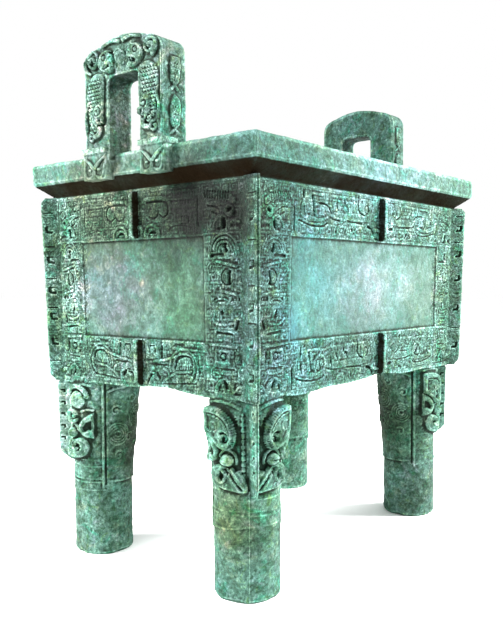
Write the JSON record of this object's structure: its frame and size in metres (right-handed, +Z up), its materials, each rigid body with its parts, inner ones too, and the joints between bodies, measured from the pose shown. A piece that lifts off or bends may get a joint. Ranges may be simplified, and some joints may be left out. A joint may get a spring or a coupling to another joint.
{
  "type": "bronze ding vessel",
  "caption": "Rectangular four-legged bronze cauldron with two upright loop ears, an open hollow body and cast relief bands under a green patina.",
  "frame": {"origin": "on the ground under the middle of the vessel", "axes": "+Z up, X along the long side of the body with an ear at each end, Y across the short side"},
  "size_m": [1.164, 0.79, 1.33],
  "materials": {
    "bronze_patina": "rough green verdigris over old cast bronze"
  },
  "bodies": {
    "root": {"ding_vessel": "bronze_patina"}
  },
  "joints": []
}
